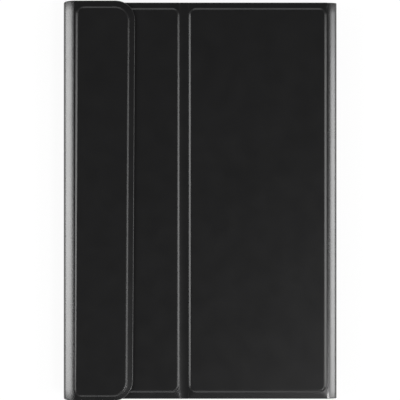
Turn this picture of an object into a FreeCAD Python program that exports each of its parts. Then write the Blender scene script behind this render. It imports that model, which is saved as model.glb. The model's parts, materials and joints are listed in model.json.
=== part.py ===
"""Folding tablet keyboard case, closed, lying on its base panel.

Millimetres. +Z is up, +X runs from the flap side to the rear spine, +Y runs along the long side.
The origin is the middle of the case's footprint, at the surface that it lies on.
"""
import FreeCAD, Part
import math
import os

from FreeCAD import Vector

# Tablet that the tray holds
tablet_length = 244.5
tablet_width = 154.5
tablet_thickness = 7.2
tablet_corner = 11.0
tablet_clearance = 0.4

# Tablet tray
tray_wall = 1.4
tray_back = 1.3
tray_lip = 0.8
tray_lip_height = 0.7
tray_edge_round = 0.6
adhesive_thickness = 0.3
adhesive_inset = 5.0
notch_web = 1.5
port_notch = 16.0
speaker_notch = 26.0
speaker_notch_offset = 48.0
button_notch = 46.0
button_notch_offset = 78.0

# Cover laminate
skin = 0.8
board = 0.6
lining = 0.6
flap_board_thickness = 0.5
lining_inset = 0.5
bevel_run = 1.8
cover_corner = 2.5
pad_corner = 3.2
least_pad_corner = 0.8
pad_end_margin = 3.75
cover_overhang = 3.45

# Spines and their folded strips
spine_board_thickness = 1.0
rear_bend = 6.1
front_bend = 6.8
bend_to_pad = 0.6
spine_end_inset = 0.7
tray_to_front_spine = 5.6
tray_to_rear_spine = 7.4

# Lid
lid_edge_gap = 2.2
lid_edge_margin = 3.0
leg_width = 92.2
groove_width = 5.7

# Closing flap
flap_width = 38.6
flap_edge_margin = 3.3
flap_pad_end_margin = 3.0
flap_end_overhang = 1.1
flap_corner = 12.5
flap_gap = 0.3
catch_count = 3
catch_pitch = 82.0
magnet_length = 24.0
magnet_width = 9.0
catch_length = 30.0
catch_width = 12.0
catch_from_flap_edge = 12.0

# Keyboard body
keyboard_corner = 6.0
keyboard_strip_clearance = 0.3
case_wall = 1.2
case_floor = 0.9
deck_thickness = 1.0
foot_height = 0.6
foot_length = 16.0
foot_width = 5.0
foot_inset = 9.0
front_margin = 5.0
side_margin = 6.8
rear_bar = 10.0
key_to_tray = 0.6

# Keys
key_pitch = 16.6
row_pitch = 14.6
function_pitch = 11.0
key_space = 2.6
key_travel = 1.5
key_stop_gap = 0.1
key_gap = 0.4
key_round = 1.4
key_draft = 0.45
split_space = 0.9

# Key switch layers
support_plate_thickness = 0.3
circuit_thickness = 0.3
dome_sheet_thickness = 0.3
dome_foot = 2.6
dome_top = 1.6
dome_clearance = 0.05
layer_margin = 1.0

# Electronics in the rear bar
bay_gap = 0.3
battery_headroom = 0.4
battery_to_magnet = 3.0
bay_end_room = 69.0
main_board_length = 42.0
main_board_thickness = 0.8
port_width = 7.6
port_height = 2.45
port_depth = 5.4
port_from_end = 31.0
port_shell = 0.3
port_tongue = 0.5
tongue_setback = 1.0
tongue_inset = 0.6
port_clearance = 0.2
port_headroom = 0.25
switch_length = 6.6
switch_depth = 3.4
switch_height = 2.2
switch_from_rear = 27.0
knob_length = 2.4
knob_height = 1.3
knob_reach = 0.8
switch_travel = 2.4
switch_clearance = 0.15
button_radius = 2.0
button_travel = 0.4
button_proud = 0.7
button_from_end = 11.0
button_clearance = 0.15
lens_radius = 0.8
lens_pitch = 5.0
lens_count = 3
lens_from_end = 40.0
fit_clearance = 0.05

# Fixings
keyboard_magnet_length = 18.0
keyboard_magnet_thickness = 1.6
hold_plate_margin = 3.0
stand_magnet_length = 40.0
stand_magnet_width = 8.0
stand_magnet_pitch = 90.0
stand_magnet_from_keyboard = 9.0
screw_head_radius = 1.4
screw_head_height = 0.5
screw_radius = 0.7
screw_boss_radius = 1.5
screw_bite = 0.7
screw_from_end = 20.0

# How far a cut runs past the face that it opens, and the height within which two edges count as level
cut_past = 1.0
level = 1e-6

# Sizes that follow from the fits
tray_length = tablet_length + 2 * (tablet_clearance + tray_wall)
tray_width = tablet_width + 2 * (tablet_clearance + tray_wall)
tray_depth = tray_back + tablet_thickness + tray_lip_height
spine_thickness = skin + spine_board_thickness + lining
strip_thickness = skin + lining
case_height = case_floor + port_height + port_headroom + deck_thickness
battery_thickness = port_height + port_headroom - battery_headroom
cover_length = tray_length + 2 * cover_overhang
flap_length = cover_length + 2 * flap_end_overhang
case_width = tray_width + tray_to_front_spine + tray_to_rear_spine + 2 * spine_thickness

x_outer = case_width / 2
x_front_inner = -x_outer + spine_thickness
x_rear_inner = x_outer - spine_thickness
x_front_bend = -x_outer + front_bend
x_rear_bend = x_outer - rear_bend
tray_x0 = x_front_inner + tray_to_front_spine
tray_x1 = tray_x0 + tray_width
lid_x0 = x_front_inner + lid_edge_gap
groove_x = x_rear_bend - leg_width
flap_x1 = x_front_bend + flap_width
half_cover = cover_length / 2
half_spine = half_cover - spine_end_inset
half_flap = flap_length / 2

# Heights, from the surface up
base_margin_z = board
base_lining_z = skin + board
base_top_z = base_lining_z + lining
keyboard_z = base_top_z + foot_height
deck_z = keyboard_z + case_height
floor_z = keyboard_z + case_floor
deck_under_z = deck_z - deck_thickness
circuit_z = floor_z + support_plate_thickness
sheet_z = circuit_z + circuit_thickness
dome_z = sheet_z + dome_sheet_thickness
key_top_z = deck_z + key_travel + key_stop_gap
key_bottom_z = dome_z + key_travel + key_stop_gap
tray_lip_z = key_top_z + key_to_tray
tray_back_z = tray_lip_z + tray_depth
lid_lining_z = tray_back_z + adhesive_thickness
lid_skin_z = lid_lining_z + lining
lid_margin_z = lid_skin_z + skin
lid_top_z = lid_margin_z + board
flap_lining_z = lid_top_z + flap_gap
flap_skin_z = flap_lining_z + lining
flap_margin_z = flap_skin_z + skin
flap_top_z = flap_margin_z + flap_board_thickness

# Plan of the keyboard
key_columns = 14
strip_inner_radius = front_bend - strip_thickness
strip_height = strip_inner_radius - foot_height + keyboard_strip_clearance
keyboard_x0 = x_front_bend - math.sqrt(strip_inner_radius**2 - strip_height**2)
key_area_x0 = keyboard_x0 + front_margin
key_area_x1 = key_area_x0 + 5 * row_pitch + function_pitch
keyboard_x1 = key_area_x1 + rear_bar
key_area_y1 = key_columns * key_pitch / 2
keyboard_length = 2 * (key_area_y1 + side_margin)
battery_length = keyboard_length - 2 * bay_end_room
keyboard_magnet_pitch = battery_length + 2 * battery_to_magnet + keyboard_magnet_length
bay_x0 = key_area_x1 + bay_gap
bay_x1 = keyboard_x1 - case_wall - bay_gap
keyboard_y1 = keyboard_length / 2
bay_y0 = -keyboard_y1 + case_wall + bay_gap


def rectangle(x0, x1, y0, y1, z, radii):
    """A closed outline in a level plane; radii are those of its corners, from (x0, y0) anticlockwise."""
    corners = [(x0, y0), (x1, y0), (x1, y1), (x0, y1)]
    inward = [(1, 1), (-1, 1), (-1, -1), (1, -1)]
    edges = []
    stops = []
    for number, ((x, y), (sx, sy), r) in enumerate(zip(corners, inward, radii)):
        along_x = Vector(x + sx * r, y, z)
        along_y = Vector(x, y + sy * r, z)
        middle = Vector(x + sx * r * (1 - math.sqrt(0.5)), y + sy * r * (1 - math.sqrt(0.5)), z)
        first, last = (along_y, along_x) if number % 2 == 0 else (along_x, along_y)
        stops.append((first, middle, last, r))
    for (first, middle, last, r), after in zip(stops, stops[1:] + stops[:1]):
        if r > 0:
            edges.append(Part.Arc(first, middle, last).toShape())
        edges.append(Part.LineSegment(last, after[0]).toShape())
    return Part.Wire(edges)


def plate(x0, x1, y0, y1, z0, z1, radii=(0, 0, 0, 0)):
    """A flat plate with its own radius at each corner."""
    face = Part.Face(rectangle(x0, x1, y0, y1, z0, radii))
    return face.extrude(Vector(0, 0, z1 - z0))


def tapered(low, high):
    """A straight-sided solid between two outlines of the same form."""
    return Part.makeLoft([low, high], True, True)


def box_at(x, y, length_x, length_y, z0, z1):
    """A plate with square corners, centred on a point."""
    return plate(x - length_x / 2, x + length_x / 2, y - length_y / 2, y + length_y / 2, z0, z1)


def post(x, y, z0, z1, radius):
    """An upright round post."""
    return Part.makeCylinder(radius, z1 - z0, Vector(x, y, z0))


def group(shapes):
    """Separate solids kept in one node."""
    return Part.makeCompound(shapes)


def spread(count, pitch):
    """Positions of evenly pitched things about a middle."""
    return [(n - (count - 1) / 2) * pitch for n in range(count)]


def laminate(panel, corners, pad, pad_corners, faces, stiffness, pockets=()):
    """Skin, board and lining of one panel.

    panel and pad are (x0, x1, half length). faces is the height of the lining's free face and +1 or -1 for
    the side that the skin looks to. The board makes the pad stand proud of the panel's margin.
    """
    x0, x1, half = panel
    px0, px1, phalf = pad
    z, up = faces
    inner = z + up * lining
    margin = inner + up * skin
    proud = margin + up * stiffness
    held = tuple(max(r - bevel_run, least_pad_corner) for r in pad_corners)
    board_plan = (px0 + bevel_run, px1 - bevel_run, -phalf + bevel_run, phalf - bevel_run)
    sheet = plate(x0, x1, -half, half, inner, margin, corners)
    raised = tapered(
        rectangle(px0, px1, -phalf, phalf, margin, pad_corners),
        rectangle(*board_plan, proud, held),
    )
    core = plate(*board_plan, inner, inner + up * stiffness, held)
    outer = sheet.fuse(raised).removeSplitter().cut(core)
    free_x0 = x0 + (lining_inset if corners[0] else 0)
    free_x1 = x1 - (lining_inset if corners[1] else 0)
    inside = tuple(max(r - lining_inset, 0) for r in corners)
    back = plate(free_x0, free_x1, -half + lining_inset, half - lining_inset, z, inner, inside)
    for pocket in pockets:
        core = core.cut(pocket)
    return outer, core, back


def bend(centre_x, centre_z, radius, quarter, half):
    """A quarter-round folded strip; quarter is the angle in degrees where it starts, from +X towards +Z."""
    def at(r, degrees):
        angle = math.radians(degrees)
        return Vector(centre_x + r * math.cos(angle), -half, centre_z + r * math.sin(angle))

    inner = radius - strip_thickness
    edges = [
        Part.Arc(at(radius, quarter), at(radius, quarter + 45), at(radius, quarter + 90)).toShape(),
        Part.LineSegment(at(radius, quarter + 90), at(inner, quarter + 90)).toShape(),
        Part.Arc(at(inner, quarter + 90), at(inner, quarter + 45), at(inner, quarter)).toShape(),
        Part.LineSegment(at(inner, quarter), at(radius, quarter)).toShape(),
    ]
    return Part.Face(Part.Wire(edges)).extrude(Vector(0, 2 * half, 0))


def spine(outer, side, z0, z1):
    """Skin, board and lining of an upright spine whose outer face is at x = outer, looking to side."""
    depths = [0, skin, skin + spine_board_thickness, spine_thickness]
    layers = []
    for near, far in zip(depths, depths[1:]):
        x = sorted((outer - side * near, outer - side * far))
        layers.append(plate(x[0], x[1], -half_spine, half_spine, z0, z1))
    return layers


def build_base():
    """Base panel with the steel that holds the keyboard and the magnets for the tray's edge."""
    span = (x_front_bend, x_rear_bend, half_cover)
    pad = (x_front_bend + bend_to_pad, x_rear_bend - bend_to_pad, half_cover - pad_end_margin)
    holders = group([
        box_at(x, y, keyboard_magnet_width + hold_plate_margin, keyboard_magnet_length, skin, base_lining_z)
        for x, y in keyboard_magnet_places
    ])
    keepers = group([
        box_at(stand_x, y, stand_magnet_width, stand_magnet_length, skin, base_lining_z)
        for y in spread(2, stand_magnet_pitch)
    ])
    outer, core, back = laminate(
        span, (0, 0, 0, 0), pad, (pad_corner,) * 4, (base_top_z, -1), board, (holders, keepers)
    )
    return {
        "base_skin": outer,
        "base_board": core,
        "base_lining": back,
        "keyboard_hold_plates": holders,
        "stand_magnets": keepers,
    }


def build_rear_spine():
    """Spine that the lid opens about, with the folded strips above and below it."""
    low = base_margin_z + rear_bend
    high = lid_margin_z - rear_bend
    outer, core, back = spine(x_outer, 1, low, high)
    return {
        "rear_spine_skin": outer,
        "rear_spine_board": core,
        "rear_spine_lining": back,
        "hinge_strip_rear_lower": bend(x_rear_bend, low, rear_bend, 270, half_spine),
        "hinge_strip_rear_upper": bend(x_rear_bend, high, rear_bend, 0, half_spine),
    }


def build_front_spine():
    """Spine that carries the closing flap, with its folded strips."""
    low = base_margin_z + front_bend
    high = flap_margin_z - front_bend
    outer, core, back = spine(-x_outer, -1, low, high)
    return {
        "front_spine_skin": outer,
        "front_spine_board": core,
        "front_spine_lining": back,
        "hinge_strip_front_lower": bend(x_front_bend, low, front_bend, 180, half_spine),
        "hinge_strip_flap": bend(x_front_bend, high, front_bend, 90, half_spine),
    }


def build_lid():
    """Two lid panels either side of the stand groove, and the steel plates that the flap's magnets catch."""
    groove_x0 = groove_x - groove_width / 2
    groove_x1 = groove_x + groove_width / 2
    pad_half = half_cover - pad_end_margin
    rear = laminate(
        (groove_x1, x_rear_bend, half_cover),
        (0, 0, 0, 0),
        (groove_x1, x_rear_bend - bend_to_pad, pad_half),
        (pad_corner,) * 4,
        (lid_lining_z, 1),
        board,
    )
    catches = group([
        box_at(catch_x, y, catch_width, catch_length, lid_skin_z, lid_skin_z + board)
        for y in spread(catch_count, catch_pitch)
    ])
    front = laminate(
        (lid_x0, groove_x0, half_cover),
        (cover_corner, 0, 0, cover_corner),
        (lid_x0 + lid_edge_margin, groove_x0, pad_half),
        (pad_corner,) * 4,
        (lid_lining_z, 1),
        board,
        (catches,),
    )
    return {
        "lid_rear_skin": rear[0],
        "lid_rear_board": rear[1],
        "lid_rear_lining": rear[2],
        "lid_front_skin": front[0],
        "lid_front_board": front[1],
        "lid_front_lining": front[2],
        "catch_plates": catches,
        "hinge_strip_stand": plate(
            groove_x0, groove_x1, -half_cover, half_cover, lid_lining_z, lid_margin_z
        ),
    }


def build_flap():
    """Closing flap with its magnets."""
    magnets = group([
        box_at(catch_x, y, magnet_width, magnet_length, flap_skin_z, flap_skin_z + flap_board_thickness)
        for y in spread(catch_count, catch_pitch)
    ])
    pad_outer = flap_corner - flap_edge_margin
    outer, core, back = laminate(
        (x_front_bend, flap_x1, half_flap),
        (0, flap_corner, flap_corner, 0),
        (x_front_bend + bend_to_pad, flap_x1 - flap_edge_margin, half_flap - flap_pad_end_margin),
        (pad_corner, pad_outer, pad_outer, pad_corner),
        (flap_lining_z, 1),
        flap_board_thickness,
        (magnets,),
    )
    return {"flap_skin": outer, "flap_board": core, "flap_lining": back, "flap_magnets": magnets}


def build_tray():
    """Moulded tray that grips the tablet, and the sheet of adhesive that holds it to the lid."""
    half = tray_length / 2
    outer_corner = tablet_corner + tablet_clearance + tray_wall
    body = plate(tray_x0, tray_x1, -half, half, tray_lip_z, tray_back_z, (outer_corner,) * 4)
    rims = [
        edge
        for edge in body.Edges
        if abs(edge.BoundBox.ZMin - tray_back_z) < level and abs(edge.BoundBox.ZMax - tray_back_z) < level
    ]
    body = body.makeFillet(tray_edge_round, rims)
    inner_corner = tablet_corner + tablet_clearance
    cavity = plate(
        tray_x0 + tray_wall, tray_x1 - tray_wall, -half + tray_wall, half - tray_wall,
        tray_lip_z + tray_lip_height, tray_back_z - tray_back, (inner_corner,) * 4,
    )
    grip = tray_wall + tray_lip
    mouth = plate(
        tray_x0 + grip, tray_x1 - grip, -half + grip, half - grip,
        tray_lip_z - cut_past, tray_lip_z + tray_lip_height, (inner_corner - tray_lip,) * 4,
    )
    notches = [notch(place) for place in tray_notches()]
    tray = body.cut(cavity).cut(mouth).cut(group(notches))
    glue = plate(
        tray_x0 + adhesive_inset, groove_x - groove_width / 2 - adhesive_inset,
        -half + adhesive_inset, half - adhesive_inset, tray_back_z, lid_lining_z,
    )
    return {"tablet_tray": tray, "tray_adhesive": glue}


def tray_notches():
    """Openings in the tray's wall as (x, y, length along x, length along y): ports, speakers and buttons."""
    end = tray_length / 2
    middle = (tray_x0 + tray_x1) / 2
    reach = 4 * tray_wall
    places = [(middle, -end, port_notch, reach)]
    for y in (-end, end):
        places += [(middle + side * speaker_notch_offset, y, speaker_notch, reach) for side in (-1, 1)]
    places.append((tray_x0, button_notch_offset, reach, button_notch))
    return places


def notch(place):
    """One wall opening, from the tray's open edge to the tablet's back."""
    x, y, along_x, along_y = place
    return box_at(x, y, along_x, along_y, tray_lip_z - cut_past, tray_back_z - tray_back - notch_web)


def key_places():
    """Every key as (node, x, y, width along the row, depth), from the keyboard's left hand at +Y."""
    rows = [
        (row_pitch, [("modifier_keys", 1.0)] * 4 + [("space_bar", 6.0)] + [("modifier_keys", 1.0)]
         + [("arrow_keys", 1.0), ("arrow_pair", 1.0), ("arrow_keys", 1.0)]),
        (row_pitch, [("left_shift_key", 2.25)] + [("lower_row_keys", 1.0)] * 10
         + [("right_shift_key", 1.75)]),
        (row_pitch, [("caps_lock_key", 1.75)] + [("home_row_keys", 1.0)] * 10 + [("enter_key", 2.25)]),
        (row_pitch, [("tab_key", 1.5)] + [("upper_row_keys", 1.0)] * 11 + [("upper_row_keys", 1.5)]),
        (row_pitch, [("number_row_keys", 1.0)] * 12 + [("backspace_key", 2.0)]),
        (function_pitch, [("function_row_keys", 1.0)] * 14),
    ]
    x = key_area_x0
    for pitch, keys in rows:
        y = key_area_y1
        depth = pitch - key_space
        for node, units in keys:
            width = units * key_pitch
            middle_x = x + pitch / 2
            middle_y = y - width / 2
            if node == "arrow_pair":
                half = (depth - split_space) / 2
                for side in (-1, 1):
                    shifted = middle_x + side * (half + split_space) / 2
                    yield "arrow_keys", shifted, middle_y, width - key_space, half
            else:
                yield node, middle_x, middle_y, width - key_space, depth
            y -= width
        x += pitch


def keycap(x, y, width, depth):
    """A drafted key cap with rounded corners."""
    low = (x - depth / 2, x + depth / 2, y - width / 2, y + width / 2)
    high = (low[0] + key_draft, low[1] - key_draft, low[2] + key_draft, low[3] - key_draft)
    shoulder = deck_z
    foot = plate(*low, key_bottom_z, shoulder, (key_round,) * 4)
    cap = tapered(
        rectangle(*low, shoulder, (key_round,) * 4),
        rectangle(*high, key_top_z, (key_round,) * 4),
    )
    return foot.fuse(cap)


def build_keys():
    """Key caps, one node for each row and for each wide key."""
    nodes = {}
    for node, x, y, width, depth in key_places():
        nodes.setdefault(node, []).append(keycap(x, y, width, depth))
    return {node: group(caps) for node, caps in nodes.items()}


def build_switch_layers():
    """Support plate, circuit sheet and rubber domes under the keys."""
    half = key_area_y1 + layer_margin
    plan = (key_area_x0, key_area_x1, -half, half)
    domes = [
        Part.makeCone(dome_foot, dome_top, key_bottom_z - dome_clearance - dome_z, Vector(x, y, dome_z))
        for _, x, y, _, _ in key_places()
    ]
    return {
        "support_plate": plate(*plan, floor_z, circuit_z),
        "circuit_sheet": plate(*plan, circuit_z, sheet_z),
        "dome_sheet": plate(*plan, sheet_z, dome_z).multiFuse(domes),
    }


def screw_places():
    """Three screws in the front margin and two in the rear bar."""
    end = keyboard_y1 - screw_from_end
    front = keyboard_x0 + case_wall + screw_boss_radius + bay_gap
    rear = keyboard_x1 - case_wall - screw_boss_radius - bay_gap
    return [(front, -end), (front, 0), (front, end), (rear, -end), (rear, end)]


def screw(x, y):
    """A screw up through the floor and its boss into the deck."""
    head = post(x, y, keyboard_z, keyboard_z + screw_head_height, screw_head_radius)
    return head.fuse(post(x, y, keyboard_z + screw_head_height, deck_under_z + screw_bite, screw_radius))


def build_keyboard_case():
    """Bottom case, deck, feet and screws."""
    plan = (keyboard_x0, keyboard_x1, -keyboard_y1, keyboard_y1)
    walls = (
        keyboard_x0 + case_wall, keyboard_x1 - case_wall, -keyboard_y1 + case_wall, keyboard_y1 - case_wall,
    )
    inner = (keyboard_corner - case_wall,) * 4
    tub = plate(*plan, keyboard_z, deck_under_z, (keyboard_corner,) * 4)
    tub = tub.cut(plate(*walls, floor_z, deck_under_z + cut_past, inner))
    places = screw_places()
    head_room = [
        post(x, y, keyboard_z - cut_past, keyboard_z + screw_head_height, screw_head_radius + fit_clearance)
        for x, y in places
    ]
    bosses = [post(x, y, floor_z, deck_under_z, screw_boss_radius) for x, y in places]
    shank_room = [
        post(x, y, keyboard_z, deck_under_z + screw_bite, screw_radius + fit_clearance) for x, y in places
    ]
    end_openings = [port_opening(), knob_slot()]
    bottom = tub.multiFuse(bosses).cut(group(head_room)).cut(group(shank_room)).cut(group(end_openings))
    top = plate(*plan, deck_under_z, deck_z, (keyboard_corner,) * 4)
    through = (deck_under_z - cut_past, deck_z + cut_past)
    openings = [
        box_at(x, y, depth + 2 * key_gap, width + 2 * key_gap, *through)
        for _, x, y, width, depth in key_places()
    ]
    small = [post(*pair_place, *through, button_radius + button_clearance)]
    small += [post(x, y, *through, lens_radius + fit_clearance) for x, y in lens_places()]
    top = top.cut(group(shank_room)).cut(group(openings)).cut(group(small))
    feet = [
        box_at(x, y, foot_width, foot_length, base_top_z, keyboard_z)
        for x in (keyboard_x0 + foot_inset, keyboard_x1 - foot_inset)
        for y in (-keyboard_y1 + foot_inset + foot_length, keyboard_y1 - foot_inset - foot_length)
    ]
    return {
        "keyboard_bottom_case": bottom,
        "keyboard_deck": top,
        "keyboard_feet": group(feet),
        "case_screws": group([screw(x, y) for x, y in places]),
    }


def port_plan():
    """Charging port as (x0, x1, y0, y1): in the rear wall, near the keyboard's right-hand end."""
    x1 = keyboard_x1 - case_wall / 2
    y = -keyboard_y1 + port_from_end
    return x1 - port_depth, x1, y - port_width / 2, y + port_width / 2


def port_opening():
    """Hole in the bottom case's rear wall around the port."""
    x0, x1, y0, y1 = port_plan()
    gap = port_clearance
    return plate(x0, x1 + case_wall, y0 - gap, y1 + gap, floor_z, floor_z + port_height + gap)


def knob_slot():
    """Slot in the bottom case's end wall that the switch knob slides in."""
    gap = switch_clearance
    x0 = switch_x - knob_length / 2 - gap
    x1 = switch_x + knob_length / 2 + switch_travel + gap
    return plate(
        x0, x1, -keyboard_y1 - cut_past, -keyboard_y1 + case_wall + fit_clearance,
        knob_z - gap, knob_z + knob_height + gap,
    )


def build_electronics():
    """Battery, main board, charging port, switch, pairing button and indicator lenses."""
    x0, x1, y0, y1 = port_plan()
    shell = plate(x0, x1, y0, y1, floor_z, floor_z + port_height)
    mouth = plate(
        x0 + port_shell, x1 + cut_past, y0 + port_shell, y1 - port_shell,
        floor_z + port_shell, floor_z + port_height - port_shell,
    )
    middle = floor_z + port_height / 2
    tongue = plate(
        x0 + port_shell / 2, x1 - tongue_setback, y0 + tongue_inset, y1 - tongue_inset,
        middle - port_tongue / 2, middle + port_tongue / 2,
    )
    notch_for_port = plate(
        x0 - port_clearance, x1, y0 - port_clearance, y1 + port_clearance, floor_z, deck_z
    )
    board_end = bay_y0 + main_board_length
    board_corner = keyboard_corner - case_wall - bay_gap
    main_board = plate(
        bay_x0, bay_x1, bay_y0, board_end, floor_z, floor_z + main_board_thickness, (0, board_corner, 0, 0)
    )
    posts = [post(x, y, floor_z, deck_z, screw_boss_radius + fit_clearance) for x, y in screw_places()]
    main_board = main_board.cut(notch_for_port).cut(group(posts))
    cell = plate(
        bay_x0, bay_x1, -battery_length / 2, battery_length / 2, floor_z, floor_z + battery_thickness
    )
    lenses = [post(x, y, deck_under_z, deck_z, lens_radius) for x, y in lens_places()]
    stem = floor_z + main_board_thickness + button_travel + fit_clearance
    x, y = pair_place
    plunger = post(x, y, stem, deck_z + button_proud, button_radius)
    return {
        "charging_port": shell.cut(mouth).fuse(tongue),
        "main_board": main_board,
        "battery": cell,
        "indicator_lenses": group(lenses),
        "pair_button": plunger,
        **build_switch(),
    }


def build_switch():
    """Slide switch: a housing inside the end wall and the knob that a finger moves."""
    gap = switch_clearance
    wall_y = -keyboard_y1 + case_wall + fit_clearance
    x0 = switch_x - (switch_length - switch_travel) / 2
    housing = plate(x0, x0 + switch_length, wall_y, wall_y + switch_depth, floor_z, floor_z + switch_height)
    knob_x0 = switch_x - knob_length / 2
    tail = switch_depth / 2
    channel = plate(
        knob_x0 - gap, knob_x0 + knob_length + switch_travel + gap, wall_y - cut_past, wall_y + tail + gap,
        knob_z - gap, knob_z + knob_height + gap,
    )
    knob = plate(
        knob_x0, knob_x0 + knob_length, -keyboard_y1 - knob_reach, wall_y + tail,
        knob_z, knob_z + knob_height,
    )
    return {"switch_housing": housing.cut(channel), "power_switch_knob": knob}


def build_keyboard_magnets():
    """Magnets inside the rear bar, over the base's hold plates."""
    return {
        "keyboard_magnets": group([
            box_at(
                x, y, keyboard_magnet_width, keyboard_magnet_length,
                floor_z, floor_z + keyboard_magnet_thickness,
            )
            for x, y in keyboard_magnet_places
        ])
    }


def lens_places():
    """Indicator lenses in the rear bar."""
    middle = keyboard_y1 - lens_from_end
    return [((bay_x0 + bay_x1) / 2, middle + y) for y in spread(lens_count, lens_pitch)]


# Places shared by several pieces
keyboard_magnet_width = bay_x1 - bay_x0
keyboard_magnet_places = [((bay_x0 + bay_x1) / 2, y) for y in spread(2, keyboard_magnet_pitch)]
stand_x = keyboard_x1 + stand_magnet_from_keyboard
catch_x = flap_x1 - catch_from_flap_edge
switch_x = keyboard_x1 - switch_from_rear
knob_z = floor_z + (switch_height - knob_height) / 2
pair_place = ((bay_x0 + bay_x1) / 2, -keyboard_y1 + button_from_end)


def main():
    """Builds every node and writes one STEP file for each."""
    nodes = {}
    for build in (
        build_base, build_rear_spine, build_front_spine, build_lid, build_flap, build_tray,
        build_keyboard_case, build_switch_layers, build_electronics, build_keyboard_magnets, build_keys,
    ):
        nodes.update(build())
    os.makedirs("parts", exist_ok=True)
    for name, shape in nodes.items():
        shape.exportStep(os.path.join("parts", name + ".step"))
    print(len(nodes), "nodes,", sum(len(shape.Solids) for shape in nodes.values()), "solids")


main()
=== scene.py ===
"""Folding tablet keyboard case, closed, seen from straight above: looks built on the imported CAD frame."""

import json
import math

import bmesh
import bpy
from mathutils import Matrix, Vector, noise


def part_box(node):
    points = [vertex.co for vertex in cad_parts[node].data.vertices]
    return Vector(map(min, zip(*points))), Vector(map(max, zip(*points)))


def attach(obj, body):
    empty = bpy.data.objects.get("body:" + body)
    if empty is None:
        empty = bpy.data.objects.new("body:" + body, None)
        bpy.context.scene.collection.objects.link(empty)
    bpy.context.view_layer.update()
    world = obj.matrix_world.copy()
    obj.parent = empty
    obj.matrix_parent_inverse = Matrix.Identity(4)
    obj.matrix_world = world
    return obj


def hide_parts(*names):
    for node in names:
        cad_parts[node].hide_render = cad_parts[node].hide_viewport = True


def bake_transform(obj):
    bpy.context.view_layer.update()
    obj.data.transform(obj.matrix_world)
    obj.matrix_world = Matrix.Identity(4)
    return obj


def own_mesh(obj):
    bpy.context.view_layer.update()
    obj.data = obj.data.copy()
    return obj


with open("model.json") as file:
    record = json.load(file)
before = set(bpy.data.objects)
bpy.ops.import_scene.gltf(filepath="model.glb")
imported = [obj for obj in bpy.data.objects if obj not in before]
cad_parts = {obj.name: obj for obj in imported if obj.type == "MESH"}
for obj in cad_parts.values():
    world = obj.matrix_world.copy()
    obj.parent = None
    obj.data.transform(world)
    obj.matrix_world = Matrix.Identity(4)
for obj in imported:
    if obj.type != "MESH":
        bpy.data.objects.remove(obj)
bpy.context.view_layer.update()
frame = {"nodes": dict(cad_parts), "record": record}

# Lengths are in metres, the camera's sensor in millimetres, and angles in degrees
MM = 0.001

# Layers of the cover
skin = 0.8 * MM
lining = 0.6 * MM
spine_board = 1.0 * MM
lining_setback = 0.5 * MM

# Rounded free edges: width and height of the turn, how far it is tucked under, and where its side starts
turned_edge = 0.6 * MM
turned_height = 0.42 * MM
turned_tuck = 0.18 * MM
turned_lift = 0.15 * MM
lining_edge = 0.2 * MM

# Raised pads: the run of their soft edge, how far they stand outside their boards, their shift along the
# case, and the least level margin beside them
pad_run = 1.8 * MM
flap_pad_run = 1.5 * MM
pad_spread = 0.2 * MM
lid_pad_shift = 0.25 * MM
flap_pad_shift = -0.6 * MM
least_margin = 0.05 * MM

# Lean of the flap: its slope to the case's long side, and the width over which it sets in
flap_lean = 0.0056
lean_start = 2 * MM

# Rise of a pad's soft edge: share of the way in from its foot, share of its height
pad_edge = [
    (0.00, 0.00), (0.10, 0.06), (0.20, 0.165), (0.35, 0.345), (0.50, 0.53), (0.65, 0.71), (0.80, 0.87),
    (0.90, 0.95), (1.00, 1.00),
]

# Slow waves in a pad's leather, which fade out towards its edge; wave_layers sets panels at different heights
# far apart in the pattern
pad_wave = 0.012 * MM
wave_length = 110 * MM
wave_fade = 12 * MM
wave_layers = 300

# Stand groove and the strips that bend; a roll is (share of the fall at once, share that grows steadily)
groove_dip = 0.15 * MM
groove_fullness = 0.7
spine_hem = 0.6 * MM
end_pull = 0.45
shoulder_squareness = 10
front_roll = (0.2, 0.2)
rear_roll = (0.11, 0.25)
lower_roll = (0.06, 0.12)

# Share of the way to the panel, listed with each strip below: short for the one whose lining has to stay off
# the keyboard
full_reach = 1.0
short_reach = 0.7

# Corner radii in plan
square_corner = 0.4 * MM
lid_corner = 2.5 * MM
pad_corner = 4.6 * MM
flap_corner = 12.5 * MM
flap_root_corner = 0.05 * MM
flap_pad_corner = 9.2 * MM
least_pad_corner = 0.8 * MM
least_corner = 0.3 * MM

# Softened edges of the moulded and metal pieces, by material slot
edge_widths = {
    "tray_plastic": 0.35 * MM, "keyboard_shell": 0.35 * MM, "key_plastic": 0.3 * MM, "foot_rubber": 0.2 * MM,
    "screw_steel": 0.1 * MM, "port_metal": 0.08 * MM, "control_plastic": 0.2 * MM, "lens_plastic": 0.12 * MM,
    "battery_foil": 0.4 * MM, "circuit_board": 0.08 * MM, "magnet_steel": 0.15 * MM,
}
soft_edge_segments = 3
soft_edge_angle = 35

# Rubber domes under the keys, with the side as share of the height and share of the way from foot to top
film_thickness = 0.3 * MM
dome_foot = 2.6 * MM
dome_top = 1.6 * MM
dome_gap = 0.05 * MM
dome_side = [(0.0, 0.0), (0.12, 0.10), (0.55, 0.55), (0.85, 0.85), (0.96, 1.0), (1.0, 1.3)]

# Key legends
letter_size = 4.2 * MM
word_size = 2.6 * MM
arrow_size = 1.3 * MM
arrow_foot = 0.7
ink_height = 0.03 * MM

# Mesh density
side_steps = 26
corner_steps = 8
edge_steps = 4
lining_edge_steps = 3
end_steps = 3
bend_steps = 36
spine_steps = 6
groove_steps = 10
length_steps = 40
dome_steps = 20
letter_steps = 3
first_ring = 0.7 * MM
ring_gap = 2 * MM
ring_growth = 0.35
last_ring = 0.5 * MM

# Tolerances; level_digits are the decimal places at which two keys count as level
weld = 1e-6
thinnest_face = 1e-7
level_digits = 5
sharp_edge = 38
sharp_dome_edge = 60

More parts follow.
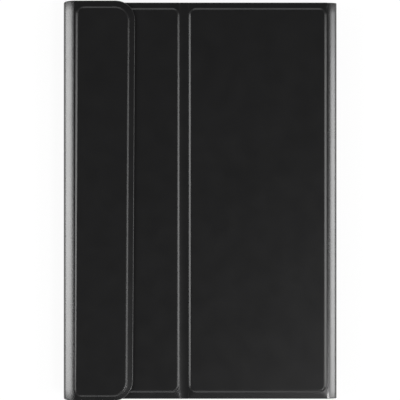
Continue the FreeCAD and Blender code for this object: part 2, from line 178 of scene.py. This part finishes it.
# Camera and stage
camera_height = 1.25
picture_width = 257.2 * MM
picture_plane = 20.9 * MM
picture_centre = (-0.15 * MM, 0.45 * MM)
sensor_width = 36
nearest_seen = 0.01
floor_size = 12.0
floor_bounce = 0.8
floor_shade = 0.16
floor_glow = 0.88

# Surrounding light: how far up, from level to straight overhead, and how bright
horizon_light = (0.05, 0.6)
overhead_light = (0.85, 0.035)


# Meshes


def finish_mesh(name, mesh_data, sharp_angle=sharp_edge):
    """Turns a bmesh into a smooth-shaded object with its sharp edges kept."""
    bmesh.ops.remove_doubles(mesh_data, verts=mesh_data.verts, dist=weld)
    bmesh.ops.dissolve_degenerate(mesh_data, dist=thinnest_face, edges=mesh_data.edges)
    bmesh.ops.recalc_face_normals(mesh_data, faces=mesh_data.faces)
    mesh = bpy.data.meshes.new(name)
    mesh_data.to_mesh(mesh)
    mesh_data.free()
    mesh.shade_smooth()
    mesh.set_sharp_from_angle(angle=math.radians(sharp_angle))
    piece = bpy.data.objects.new(name, mesh)
    bpy.context.scene.collection.objects.link(piece)
    return piece


def wrap(mesh_data, loops):
    """Faces from each closed loop of vertices to the next, and across the first and last."""
    for low, high in zip(loops, loops[1:]):
        count = len(low)
        for i in range(count):
            j = (i + 1) % count
            mesh_data.faces.new((low[i], low[j], high[j], high[i]))
    mesh_data.faces.new(list(reversed(loops[0])))
    mesh_data.faces.new(loops[-1])


def quarter_turn(steps):
    """Angles from 0 to 90 degrees, in radians."""
    return [math.radians(90 * step / steps) for step in range(steps + 1)]


def outline(x0, x1, half, radii):
    """Points round a rounded rectangle, anticlockwise from its corner at (x0, -half)."""
    corners = [(x0, -half, 1, 1, 180), (x1, -half, -1, 1, 270), (x1, half, -1, -1, 0), (x0, half, 1, -1, 90)]
    arcs = []
    for (x, y, sx, sy, start), r in zip(corners, radii):
        arc = []
        for step in range(corner_steps + 1):
            angle = math.radians(start + 90 * step / corner_steps)
            arc.append((x + sx * r + r * math.cos(angle), y + sy * r + r * math.sin(angle)))
        arcs.append(arc)
    points = []
    for arc, after in zip(arcs, arcs[1:] + arcs[:1]):
        points += arc
        (ax, ay), (bx, by) = arc[-1], after[0]
        for step in range(1, side_steps):
            t = step / side_steps
            points.append((ax + (bx - ax) * t, ay + (by - ay) * t))
    return points


def ring_mesh(name, rings):
    """A closed solid through a stack of outlines; each ring is (points, z or a function of x and y)."""
    mesh_data = bmesh.new()
    loops = []
    for points, z in rings:
        loops.append([mesh_data.verts.new((x, y, z(x, y) if callable(z) else z)) for x, y in points])
    wrap(mesh_data, loops)
    return finish_mesh(name, mesh_data)


def between(a, b, t):
    """The plan (x0, x1, half, radii) part of the way from one plan to another."""
    radii = [p + (q - p) * t for p, q in zip(a[3], b[3])]
    return a[0] + (b[0] - a[0]) * t, a[1] + (b[1] - a[1]) * t, a[2] + (b[2] - a[2]) * t, radii


def inset(plan, left, right, ends):
    """A plan moved in from its sides, with its corners kept concentric."""
    x0, x1, half, radii = plan
    ways = [max(left, ends), max(right, ends), max(right, ends), max(left, ends)]
    return x0 + left, x1 - right, half - ends, [max(r - w, least_corner) for r, w in zip(radii, ways)]


def cover_panel(name, node, corners, pad_corners, free, up=1, pad_shift=0.0, run=pad_run):
    """Leather over a stiff board: a turned free edge, a level margin and a raised pad with soft shoulders.

    node gives the CAD names with _skin and _board. free says which of the left and right sides are open
    edges. pad_shift moves the pad along the case, and run is the width of its soft edge.
    """
    low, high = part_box(node + "_skin")
    board_low, board_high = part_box(node + "_board")
    thickness = board_high.z - board_low.z
    inner = low.z if up > 0 else high.z
    proud = inner + up * (skin + thickness)
    margin = inner + up * skin
    edge = (low.x, high.x, high.y, corners)
    board = (board_low.x, board_high.x, board_high.y)
    pocket = (*board, [least_pad_corner] * 4)
    held = [max(r - run, least_pad_corner) for r in pad_corners]
    top = inset((*board, held), -pad_spread, -pad_spread, -pad_spread)
    foot = inset(top, -run, -run, -run)
    foot = (max(foot[0], low.x + least_margin), min(foot[1], high.x - least_margin), *foot[2:])

    def edge_ring(way, z):
        return outline(*inset(edge, way * free[0], way * free[1], way)), z

    def pad_outline(plan):
        return [(x, y + pad_shift) for x, y in outline(*plan)]

    def wave(x, y):
        near = min(x - top[0], top[1] - x, top[2] - abs(y))
        fade = min(max(near / wave_fade, 0), 1)
        place = Vector((x, y, wave_layers * inner)) / wave_length
        return proud - up * fade * pad_wave * (1 + noise.noise(place))

    rings = [
        (outline(*pocket), inner + up * thickness),
        (outline(*pocket), inner),
        edge_ring(turned_tuck, inner),
        edge_ring(0, inner + up * turned_lift),
    ]
    for angle in quarter_turn(edge_steps):
        z = margin - up * turned_height * (1 - math.sin(angle))
        rings.append(edge_ring(turned_edge * (1 - math.cos(angle)), z))
    for way, rise in pad_edge:
        rings.append((pad_outline(between(foot, top, way)), margin + (proud - margin) * rise))
    way = first_ring
    reach = min(top[1] - top[0], 2 * top[2]) / 2
    while way < reach - last_ring:
        rings.append((pad_outline(inset(top, way, way, way)), wave))
        way += max(ring_gap, ring_growth * way)
    return ring_mesh(name, rings)


def lining_sheet(name, node, corners, visible_up, free):
    """A thin layer of lining with a softly rounded free edge; free is as for cover_panel."""
    low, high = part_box(node)
    plan = (low.x, high.x, high.y, corners)
    seen, hidden = (high.z, low.z) if visible_up else (low.z, high.z)
    toward = lining_edge if visible_up else -lining_edge
    rings = [(outline(*plan), hidden)]
    for angle in quarter_turn(lining_edge_steps):
        way = lining_edge * (1 - math.cos(angle))
        z = seen - toward * (1 - math.sin(angle))
        rings.append((outline(*inset(plan, way * free[0], way * free[1], way)), z))
    return ring_mesh(name, rings)


def sweep(name, outer, inner, half, rounding, hem=None, flare=None):
    """A closed strip along the case: outer and inner are matching lines of (x, z), its ends are rounded.

    hem is a deeper line that the ends turn in to, over what lies behind the strip. flare is how much further
    each point of the lines reaches at the two ends.
    """
    longer = [1 + more / half for more in flare or [0] * len(outer)]
    start = []
    for turn in quarter_turn(end_steps):
        start.append((-half + rounding * (1 - math.cos(turn)), end_pull * (1 - math.sin(turn)), hem or inner))
    if hem:
        start.append((start[-1][0], 0, inner))
    inside = half - rounding
    middle = [(-inside + 2 * inside * step / length_steps, 0, inner) for step in range(1, length_steps)]
    finish = [(-y, pull, back) for y, pull, back in reversed(start)]
    mesh_data = bmesh.new()
    loops = []
    for y, pull, back in start + middle + finish:
        loop = []
        for (ox, oz), (ix, iz), more in zip(outer, inner, longer):
            loop.append(mesh_data.verts.new((ox + (ix - ox) * pull, y * more, oz + (iz - oz) * pull)))
        for (x, z), more in reversed(list(zip(back, longer))):
            loop.append(mesh_data.verts.new((x, y * more, z)))
        loops.append(loop)
    wrap(mesh_data, loops)
    return finish_mesh(name, mesh_data)


def shoulder_line(panel_end, spine_end, slope, crown):
    """Points (x, z) from a panel's edge over a rolled shoulder to its spine.

    slope is the share of the fall that starts at once, and crown the share that grows steadily; the rest
    turns over close to the spine.
    """
    line = []
    for step in range(bend_steps + 1):
        turn = math.radians(90 * (step / bend_steps) ** (shoulder_squareness / 2))
        out = math.sin(turn) ** (2 / shoulder_squareness)
        turned = 1 - math.cos(turn) ** (2 / shoulder_squareness)
        fall = slope * out + crown * out ** 2 + (1 - slope - crown) * turned
        x = panel_end[0] + (spine_end[0] - panel_end[0]) * out
        line.append((x, panel_end[1] + (spine_end[1] - panel_end[1]) * fall))
    return line


def straight_line(a, b, steps):
    """Points (x, z) after a, up to b."""
    line = []
    for step in range(1, steps + 1):
        t = step / steps
        line.append((a[0] + (b[0] - a[0]) * t, a[1] + (b[1] - a[1]) * t))
    return line


def islands(node):
    """The separate solids of a CAD node as (lowest corner, highest corner), from +Y to -Y."""
    mesh_data = bmesh.new()
    mesh_data.from_mesh(frame["nodes"][node].data)
    bmesh.ops.remove_doubles(mesh_data, verts=mesh_data.verts, dist=weld)
    seen = set()
    boxes = []
    for first in mesh_data.verts:
        if first.index in seen:
            continue
        stack = [first]
        seen.add(first.index)
        points = []
        while stack:
            vert = stack.pop()
            points.append(vert.co.copy())
            for link in vert.link_edges:
                other = link.other_vert(vert)
                if other.index not in seen:
                    seen.add(other.index)
                    stack.append(other)
        low = Vector(min(p[i] for p in points) for i in range(3))
        high = Vector(max(p[i] for p in points) for i in range(3))
        boxes.append((low, high))
    mesh_data.free()
    return sorted(boxes, key=lambda box: (-round(box[1].y + box[0].y, level_digits), box[0].x))


# Materials


class Surface:
    """A Principled material and short ways to add its nodes."""

    def __init__(self, name, colour, roughness, metallic=0.0, specular=0.5):
        self.material = bpy.data.materials.new(name)
        self.material.use_nodes = True
        self.nodes = self.material.node_tree.nodes
        self.links = self.material.node_tree.links
        self.shader = self.nodes["Principled BSDF"]
        self.shader.inputs["Base Color"].default_value = (*colour, 1)
        self.shader.inputs["Roughness"].default_value = roughness
        self.shader.inputs["Metallic"].default_value = metallic
        self.shader.inputs["Specular IOR Level"].default_value = specular
        self.place = self.nodes.new("ShaderNodeTexCoord").outputs["Object"]

    def noise(self, size, detail=3.0, stretch=None):
        """Noise whose features are about size metres wide."""
        texture = self.nodes.new("ShaderNodeTexNoise")
        texture.inputs["Scale"].default_value = 1 / size
        texture.inputs["Detail"].default_value = detail
        self.links.new(self.stretched(stretch), texture.inputs["Vector"])
        return texture.outputs["Fac"]

    def cells(self, size, smoothness=0.6):
        """Rounded cells about size metres wide, such as leather grain."""
        texture = self.nodes.new("ShaderNodeTexVoronoi")
        texture.feature = "SMOOTH_F1"
        texture.inputs["Scale"].default_value = 1 / size
        texture.inputs["Smoothness"].default_value = smoothness
        self.links.new(self.place, texture.inputs["Vector"])
        return texture.outputs["Distance"]

    def stretched(self, stretch):
        """Object coordinates, drawn out along an axis."""
        if stretch is None:
            return self.place
        mapping = self.nodes.new("ShaderNodeMapping")
        mapping.inputs["Scale"].default_value = stretch
        self.links.new(self.place, mapping.inputs["Vector"])
        return mapping.outputs["Vector"]

    def tint(self, value, first, second, start=0.3, end=0.7):
        """Base colour between two colours, as value goes from start to end."""
        ramp = self.nodes.new("ShaderNodeValToRGB")
        ramp.color_ramp.elements[0].position = start
        ramp.color_ramp.elements[0].color = (*first, 1)
        ramp.color_ramp.elements[1].position = end
        ramp.color_ramp.elements[1].color = (*second, 1)
        self.links.new(value, ramp.inputs["Fac"])
        self.links.new(ramp.outputs["Color"], self.shader.inputs["Base Color"])

    def roughen(self, value, low, high, start=0.3, end=0.7):
        """Roughness between two values, as value goes from start to end."""
        node = self.nodes.new("ShaderNodeMapRange")
        node.inputs["From Min"].default_value = start
        node.inputs["From Max"].default_value = end
        node.inputs["To Min"].default_value = low
        node.inputs["To Max"].default_value = high
        self.links.new(value, node.inputs["Value"])
        self.links.new(node.outputs["Result"], self.shader.inputs["Roughness"])

    def bump(self, *layers):
        """Fine relief from (value, depth in metres, strength) layers."""
        normal = None
        for value, depth, strength in layers:
            node = self.nodes.new("ShaderNodeBump")
            node.inputs["Distance"].default_value = depth
            node.inputs["Strength"].default_value = strength
            self.links.new(value, node.inputs["Height"])
            if normal is not None:
                self.links.new(normal, node.inputs["Normal"])
            normal = node.outputs["Normal"]
        self.links.new(normal, self.shader.inputs["Normal"])


def leather(name, specular, roughness, ior=1.5, coat=0.0):
    """Smooth black coated leather with a shallow grain and slow changes of gloss."""
    surface = Surface(name, (0.0082, 0.0082, 0.0085), roughness, specular=specular)
    surface.shader.inputs["IOR"].default_value = ior
    surface.shader.inputs["Coat Weight"].default_value = coat
    surface.shader.inputs["Coat Roughness"].default_value = roughness
    shade = surface.noise(45 * MM)
    gloss = surface.noise(12 * MM, detail=4)
    grain = surface.cells(0.9 * MM)
    pores = surface.noise(0.4 * MM, detail=2)
    surface.tint(shade, (0.0076, 0.0076, 0.0079), (0.0088, 0.0088, 0.0091))
    surface.roughen(gloss, roughness - 0.015, roughness + 0.015)
    surface.bump((grain, 0.04 * MM, 0.12), (pores, 0.02 * MM, 0.1))
    return surface.material


def microfibre(name):
    """Brushed lining cloth with a short nap."""
    surface = Surface(name, (0.03, 0.03, 0.032), 0.95, specular=0.2)
    surface.shader.inputs["Sheen Weight"].default_value = 0.35
    surface.shader.inputs["Sheen Roughness"].default_value = 0.5
    shade = surface.noise(6 * MM, detail=6)
    nap = surface.noise(0.6 * MM, detail=4, stretch=(1, 2.5, 1))
    surface.tint(shade, (0.022, 0.022, 0.024), (0.042, 0.042, 0.045))
    surface.bump((nap, 0.15 * MM, 0.6))
    return surface.material


def moulded(name, colour, roughness, grain=0.6 * MM, depth=0.04 * MM):
    """Moulded plastic or rubber with a fine spark-eroded texture."""
    surface = Surface(name, colour, roughness)
    lighter = tuple(min(channel * 1.25 + 0.002, 1) for channel in colour)
    shade = surface.noise(20 * MM)
    gloss = surface.noise(12 * MM, detail=4)
    sparks = surface.noise(grain, detail=2)
    surface.tint(shade, colour, lighter)
    surface.roughen(gloss, roughness - 0.05, roughness + 0.06)
    surface.bump((sparks, depth, 0.35))
    return surface.material


def metal(name, colour, roughness):
    """Rolled or plated metal with fine lines along the case."""
    surface = Surface(name, colour, roughness, metallic=1.0)
    lines = surface.noise(0.6 * MM, stretch=(1, 0.04, 1))
    surface.roughen(lines, roughness - 0.06, roughness + 0.08)
    surface.bump((lines, 0.01 * MM, 0.2))
    return surface.material


def fibre(name, colour):
    """Pressed board with visible fibres."""
    surface = Surface(name, colour, 0.85, specular=0.2)
    darker = tuple(channel * 0.8 for channel in colour)
    shade = surface.noise(3 * MM, detail=6, stretch=(1, 0.3, 1))
    strands = surface.noise(1 * MM, detail=5, stretch=(1, 0.3, 1))
    surface.tint(shade, darker, colour)
    surface.bump((strands, 0.1 * MM, 0.4))
    return surface.material


def ink(name):
    """Pale printed legends."""
    surface = Surface(name, (0.62, 0.62, 0.62), 0.6)
    surface.tint(surface.noise(4 * MM), (0.58, 0.58, 0.58), (0.66, 0.66, 0.66))
    return surface.material


# By the record's material slots
materials = {
    "cover_leather": leather("coated_leather", 0.6, 0.3),
    "lining_fabric": microfibre("lining_microfibre"),
    "stiffener": fibre("pressed_board", (0.32, 0.3, 0.27)),
    "magnet_steel": metal("plated_steel", (0.6, 0.6, 0.62), 0.3),
    "adhesive": moulded("adhesive_sheet", (0.6, 0.6, 0.57), 0.5),
    "tray_plastic": moulded("tray_plastic", (0.014, 0.014, 0.015), 0.45),
    "keyboard_shell": moulded("shell_plastic", (0.016, 0.016, 0.017), 0.42),
    "key_plastic": moulded("key_plastic", (0.02, 0.02, 0.021), 0.5, 0.4 * MM),
    "foot_rubber": moulded("foot_rubber", (0.02, 0.02, 0.02), 0.8),
    "screw_steel": metal("dark_screw_steel", (0.3, 0.3, 0.31), 0.35),
    "plate_metal": metal("rolled_aluminium", (0.7, 0.7, 0.7), 0.4),
    "circuit_film": moulded("circuit_film", (0.55, 0.58, 0.5), 0.3, 3 * MM),
    "dome_rubber": moulded("dome_rubber", (0.55, 0.55, 0.53), 0.6),
    "circuit_board": moulded("solder_mask", (0.02, 0.14, 0.06), 0.35, 2 * MM),
    "battery_foil": metal("battery_foil", (0.72, 0.72, 0.73), 0.45),
    "port_metal": metal("port_steel", (0.62, 0.62, 0.63), 0.28),
    "control_plastic": moulded("control_plastic", (0.02, 0.02, 0.02), 0.25),
    "lens_plastic": moulded("lens_plastic", (0.42, 0.44, 0.46), 0.3, 2 * MM),
}
legend_ink = ink("legend_ink")

# Where the leather is drawn over a fold it is polished by handling
folded_leather = leather("polished_leather", 1.0, 0.26, ior=1.6, coat=0.4)


def paint(piece, slot, material=None):
    """Gives a new piece its own material, or else the material for the record's slot."""
    piece.data.materials.clear()
    piece.data.materials.append(material or materials[slot])
    return piece


# CAD nodes that stay: softened edges and their own materials

for entry in frame["record"]["subparts"]:
    node = frame["nodes"][entry["node"]]
    node.data.materials.clear()
    node.data.materials.append(materials[entry["material_slot"]])
    if entry["material_slot"] in edge_widths:
        soften = node.modifiers.new("soft_edges", "BEVEL")
        soften.width = edge_widths[entry["material_slot"]]
        soften.segments = soft_edge_segments
        soften.limit_method = "ANGLE"
        soften.angle_limit = math.radians(soft_edge_angle)
        soften.harden_normals = True


# Cover panels and their linings; corners are listed anticlockwise from the left one at the near end

joined = (False, False)
left_free = (True, False)
right_free = (False, True)
all_square = [square_corner] * 4
all_pad = [pad_corner] * 4


def left_rounded(radius):
    """Corners of a panel whose left side is free."""
    return [radius, square_corner, square_corner, radius]


base_cover = cover_panel("base_cover", "base", all_square, all_pad, joined, up=-1)
lid_front_cover = cover_panel(
    "lid_front_cover", "lid_front", left_rounded(lid_corner), all_pad, left_free, pad_shift=lid_pad_shift
)
lid_rear_cover = cover_panel(
    "lid_rear_cover", "lid_rear", all_square, all_pad, joined, pad_shift=lid_pad_shift
)
flap_cover = cover_panel(
    "flap_cover", "flap", [flap_root_corner, flap_corner, flap_corner, flap_root_corner],
    [pad_corner, flap_pad_corner, flap_pad_corner, pad_corner], right_free, pad_shift=flap_pad_shift,
    run=flap_pad_run,
)

lid_lining_corner = lid_corner - lining_setback
flap_lining_corner = flap_corner - lining_setback
base_lining = lining_sheet("base_lining_sheet", "base_lining", all_square, True, joined)
lid_front_lining = lining_sheet(
    "lid_front_lining_sheet", "lid_front_lining", left_rounded(lid_lining_corner), False, left_free
)
lid_rear_lining = lining_sheet("lid_rear_lining_sheet", "lid_rear_lining", all_square, False, joined)
flap_lining = lining_sheet(
    "flap_lining_sheet", "flap_lining",
    [square_corner, flap_lining_corner, flap_lining_corner, square_corner], False, right_free,
)


def lean(piece):
    """The flap lies a little askew: beyond its joined edge it runs slightly off the case's long side."""
    joined_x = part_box("flap_skin")[0].x
    for vert in piece.data.vertices:
        share = min((vert.co.x - joined_x) / lean_start, 1)
        vert.co.x += flap_lean * share * vert.co.y


lean(flap_cover)
lean(flap_lining)
for piece, slot, node, body in (
    (base_cover, "cover_leather", "base_skin", "base"),
    (lid_front_cover, "cover_leather", "lid_front_skin", "lid"),
    (lid_rear_cover, "cover_leather", "lid_rear_skin", "lid"),
    (flap_cover, "cover_leather", "flap_skin", "flap"),
    (base_lining, "lining_fabric", "base_lining", "base"),
    (lid_front_lining, "lining_fabric", "lid_front_lining", "lid"),
    (lid_rear_lining, "lining_fabric", "lid_rear_lining", "lid"),
    (flap_lining, "lining_fabric", "flap_lining", "flap"),
):
    paint(piece, slot)
    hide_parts(node)
    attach(piece, body)


# Stand groove between the lid's two panels

groove_low, groove_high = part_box("hinge_strip_stand")
groove_top = []
groove_under = []
groove_back = []
for step in range(groove_steps + 1):
    share = step / groove_steps
    x = groove_low.x + (groove_high.x - groove_low.x) * share
    groove_top.append((x, groove_high.z - groove_dip * math.sin(math.pi * share) ** groove_fullness))
    groove_under.append((x, groove_low.z + lining))
    groove_back.append((x, groove_low.z))
groove_half = groove_high.y
groove_cover = sweep("stand_groove_cover", groove_top, groove_under, groove_half, turned_edge)
groove_lining = sweep(
    "stand_groove_lining", groove_back, groove_under, groove_half - lining_setback, lining_edge
)
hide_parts("hinge_strip_stand")
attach(paint(groove_cover, "cover_leather"), "lid")
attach(paint(groove_lining, "lining_fabric"), "lid")


# Spines and the strips that bend


def strip_line(strip, side, upper, roll, spine_node, at_panel, at_spine):
    """Points of a line that rolls from a panel to its spine, and down the spine where spine_node is given.

    at_panel and at_spine are how far it lies inside the cover's outer face at its two ends.
    """
    low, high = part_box(strip)
    panel_x, spine_x = (low.x, high.x) if side > 0 else (high.x, low.x)
    panel_z, spine_z = (high.z, low.z) if upper else (low.z, high.z)
    inward = -1 if upper else 1
    line = shoulder_line((panel_x, panel_z + inward * at_panel), (spine_x - side * at_spine, spine_z), *roll)
    if spine_node:
        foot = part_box(spine_node)[0].z
        line += straight_line(line[-1], (line[-1][0], foot), spine_steps)
    return line


def flare_out(line, most):
    """How much further each point reaches: all of most at the panel, none at the spine, round in plan."""
    panel_x, spine_x = line[0][0], line[-1][0]
    shares = [(x - spine_x) / (panel_x - spine_x) for x, _ in line]
    return [most * math.sqrt(max(1 - (1 - share) ** 2, 0)) for share in shares]


lining_depth = skin + spine_board
flap_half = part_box("flap_skin")[1].y
for name, strip, upper, roll, reach, spine, panel in (
    ("rear_upper", "hinge_strip_rear_upper", True, rear_roll, full_reach, "rear_spine", "lid"),
    ("rear_lower", "hinge_strip_rear_lower", False, lower_roll, full_reach, "rear_spine", "base"),
    ("front_upper", "hinge_strip_flap", True, front_roll, full_reach, "front_spine", "flap"),
    ("front_lower", "hinge_strip_front_lower", False, lower_roll, short_reach, "front_spine", "base"),
):
    side = 1 if spine == "rear_spine" else -1
    # An upper strip goes on down its spine, in place of the spine's own skin and lining
    skin_node = spine + "_skin" if upper else None
    shape = (strip, side, upper, roll, skin_node)
    outside = strip_line(*shape, 0, 0)
    under_skin = strip_line(*shape, skin, skin)
    behind = strip_line(*shape, skin, lining_depth)
    inside = strip_line(*shape, skin + lining, lining_depth + lining)
    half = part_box(strip)[1].y
    flare = flare_out(outside, flap_half - half - spine_hem) if panel == "flap" else None
    outer = sweep(name + "_cover", outside, under_skin, half + spine_hem, spine_hem, behind, flare)
    lined = sweep(name + "_lining_strip", inside, behind, half, lining_edge)
    paint(outer, "cover_leather", folded_leather)
    paint(lined, "lining_fabric")
    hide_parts(strip)
    if upper:
        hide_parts(skin_node)
        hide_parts(spine + "_lining")
    for piece in (outer, lined):
        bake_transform(piece)


# Rubber film and domes, one group of domes under each group of keys

sheet_low, sheet_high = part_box("circuit_sheet")
film = bmesh.new()
bmesh.ops.create_cube(film, size=1)
film_matrix = Matrix.Translation(((sheet_low.x + sheet_high.x) / 2, 0, sheet_high.z + film_thickness / 2))
film_matrix @= Matrix.Diagonal((sheet_high.x - sheet_low.x, 2 * sheet_high.y, film_thickness, 1))
bmesh.ops.transform(film, matrix=film_matrix, verts=film.verts)
dome_film = finish_mesh("dome_film", film)
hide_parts("dome_sheet")
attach(paint(dome_film, "dome_rubber"), "keyboard")
film_top = sheet_high.z + film_thickness


def dome_group(name, boxes):
    """Round domes under a group of keys, each up to the key's underside."""
    mesh_data = bmesh.new()
    for low, high in boxes:
        rise = low.z - dome_gap - film_top
        loops = []
        for share, turn in dome_side:
            radius = dome_foot + (dome_top - dome_foot) * turn
            loop = []
            for step in range(dome_steps):
                angle = 2 * math.pi * step / dome_steps
                x = (low.x + high.x) / 2 + radius * math.cos(angle)
                y = (low.y + high.y) / 2 + radius * math.sin(angle)
                loop.append(mesh_data.verts.new((x, y, film_top + share * rise)))
            loops.append(loop)
        wrap(mesh_data, loops)
    return finish_mesh(name, mesh_data, sharp_dome_edge)


# Key legends, read from the user's side at -X with the left hand at +Y

legends = {
    "function_row_keys": ["esc"] + ["F%d" % number for number in range(1, 13)] + ["del"],
    "number_row_keys": list("1234567890-="),
    "backspace_key": ["backspace"],
    "tab_key": ["tab"],
    "upper_row_keys": list("QWERTYUIOP[]"),
    "caps_lock_key": ["caps"],
    "home_row_keys": list("ASDFGHJKL;"),
    "enter_key": ["enter"],
    "left_shift_key": ["shift"],
    "lower_row_keys": list("ZXCVBNM,./"),
    "right_shift_key": ["shift"],
    "modifier_keys": ["fn", "ctrl", "home", "alt", "alt"],
    "space_bar": [""],
    "arrow_keys": ["left", "down", "up", "right"],
}
arrow_turns = {"left": 90, "down": 180, "up": 0, "right": -90}
arrow_corners = [
    (-arrow_size, -arrow_foot * arrow_size, 0), (arrow_size, -arrow_foot * arrow_size, 0), (0, arrow_size, 0),
]
legend_turn = Matrix(((0, 1, 0), (-1, 0, 0), (0, 0, 1))).to_4x4()


def word_mesh(word, size):
    """The outline of a word as a flat mesh, centred on the origin."""
    curve = bpy.data.curves.new("legend", "FONT")
    curve.body = word
    curve.size = size
    curve.align_x = "CENTER"
    curve.align_y = "CENTER"
    curve.resolution_u = letter_steps
    holder = bpy.data.objects.new("legend", curve)
    bpy.context.scene.collection.objects.link(holder)
    bpy.context.view_layer.update()
    mesh = bpy.data.meshes.new_from_object(holder)
    bpy.data.objects.remove(holder)
    return mesh


def legend_group(name, words, boxes):
    """All the legends on one body's keys."""
    mesh_data = bmesh.new()
    for word, (low, high) in zip(words, boxes):
        middle = Vector(((low.x + high.x) / 2, (low.y + high.y) / 2, high.z + ink_height))
        place = Matrix.Translation(middle) @ legend_turn
        if word in arrow_turns:
            turn = place @ Matrix.Rotation(math.radians(arrow_turns[word]), 4, "Z")
            mesh_data.faces.new([mesh_data.verts.new(turn @ Vector(corner)) for corner in arrow_corners])
            continue
        mesh = word_mesh(word, letter_size if len(word) == 1 else word_size)
        mesh.transform(place)
        mesh_data.from_mesh(mesh)
        bpy.data.meshes.remove(mesh)
    return finish_mesh(name, mesh_data)


for node, words in legends.items():
    keys = islands(node)
    domes = paint(dome_group(node + "_domes", keys), "dome_rubber")
    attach(domes, "keyboard")
    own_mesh(domes)
    if any(words):
        print_on = paint(legend_group(node + "_legends", words, keys), "key_plastic", legend_ink)
        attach(print_on, node + "_body")


# Floor, light and camera


def grey(level):
    """An opaque neutral colour."""
    return level, level, level, 1


def studio_floor():
    """A plain pale floor that stays white in the picture and keeps a soft shadow."""
    mesh = bpy.data.meshes.new("floor")
    half = floor_size / 2
    corners = [(-half, -half, 0), (half, -half, 0), (half, half, 0), (-half, half, 0)]
    mesh.from_pydata(corners, [], [(0, 1, 2, 3)])
    floor = bpy.data.objects.new("floor", mesh)
    bpy.context.scene.collection.objects.link(floor)
    material = bpy.data.materials.new("pale_floor")
    material.use_nodes = True
    nodes = material.node_tree.nodes
    links = material.node_tree.links
    nodes.clear()
    output = nodes.new("ShaderNodeOutputMaterial")
    plain = nodes.new("ShaderNodeBsdfDiffuse")
    plain.inputs["Color"].default_value = grey(floor_bounce)
    shaded = nodes.new("ShaderNodeBsdfDiffuse")
    shaded.inputs["Color"].default_value = grey(floor_shade)
    glow = nodes.new("ShaderNodeEmission")
    glow.inputs["Strength"].default_value = floor_glow
    seen = nodes.new("ShaderNodeAddShader")
    links.new(glow.outputs[0], seen.inputs[0])
    links.new(shaded.outputs[0], seen.inputs[1])
    # The camera, reflections and clear materials see the glowing floor; other light meets the plain one
    path = nodes.new("ShaderNodeLightPath")
    looking = path.outputs["Is Camera Ray"]
    for ray in ("Is Glossy Ray", "Is Transmission Ray"):
        either = nodes.new("ShaderNodeMath")
        either.operation = "MAXIMUM"
        links.new(looking, either.inputs[0])
        links.new(path.outputs[ray], either.inputs[1])
        looking = either.outputs[0]
    mix = nodes.new("ShaderNodeMixShader")
    links.new(looking, mix.inputs[0])
    links.new(plain.outputs[0], mix.inputs[1])
    links.new(seen.outputs[0], mix.inputs[2])
    links.new(mix.outputs[0], output.inputs["Surface"])
    mesh.materials.append(material)


def studio_world():
    """Soft surrounding light: pale at the horizon, dim overhead."""
    world = bpy.data.worlds.new("studio")
    bpy.context.scene.world = world
    world.use_nodes = True
    nodes = world.node_tree.nodes
    links = world.node_tree.links
    place = nodes.new("ShaderNodeTexCoord")
    split = nodes.new("ShaderNodeSeparateXYZ")
    links.new(place.outputs["Generated"], split.inputs[0])
    ramp = nodes.new("ShaderNodeValToRGB")
    for element, (up, level) in zip(ramp.color_ramp.elements, (horizon_light, overhead_light)):
        element.position = up
        element.color = grey(level)
    links.new(split.outputs["Z"], ramp.inputs["Fac"])
    links.new(ramp.outputs["Color"], nodes["Background"].inputs["Color"])
    nodes["Background"].inputs["Strength"].default_value = 1.0


def softbox(name, place, size, power):
    """A rectangular soft light that faces the object; metres and watts."""
    light = bpy.data.lights.new(name, "AREA")
    light.shape = "RECTANGLE"
    light.size, light.size_y = size
    light.energy = power
    lamp = bpy.data.objects.new(name, light)
    bpy.context.scene.collection.objects.link(lamp)
    lamp.location = place
    lamp.rotation_euler = (-Vector(place)).to_track_quat("-Z", "Y").to_euler()


def overhead_camera():
    """The photograph's view from straight above, framed at the height of the lid."""
    camera = bpy.data.cameras.new("camera")
    camera.sensor_width = sensor_width
    camera.lens = sensor_width * (camera_height - picture_plane) / picture_width
    camera.clip_start = nearest_seen
    holder = bpy.data.objects.new("camera", camera)
    bpy.context.scene.collection.objects.link(holder)
    holder.location = (*picture_centre, camera_height)
    bpy.context.scene.camera = holder


studio_floor()
studio_world()
softbox("left_softbox", place=(-0.9, 0.0, 0.70), size=(0.6, 0.6), power=5.2)
softbox("right_softbox", place=(0.9, -0.08, 0.70), size=(0.6, 0.6), power=4.9)
softbox("far_softbox", place=(0, 1.2, 0.55), size=(0.9, 0.7), power=3.3)
softbox("near_softbox", place=(0, -1.2, 0.55), size=(0.9, 0.7), power=3.6)
softbox("corner_softbox", place=(0.6, -0.6, 1.5), size=(0.3, 0.3), power=5.4)
overhead_camera()
bpy.context.scene.view_settings.view_transform = "Standard"
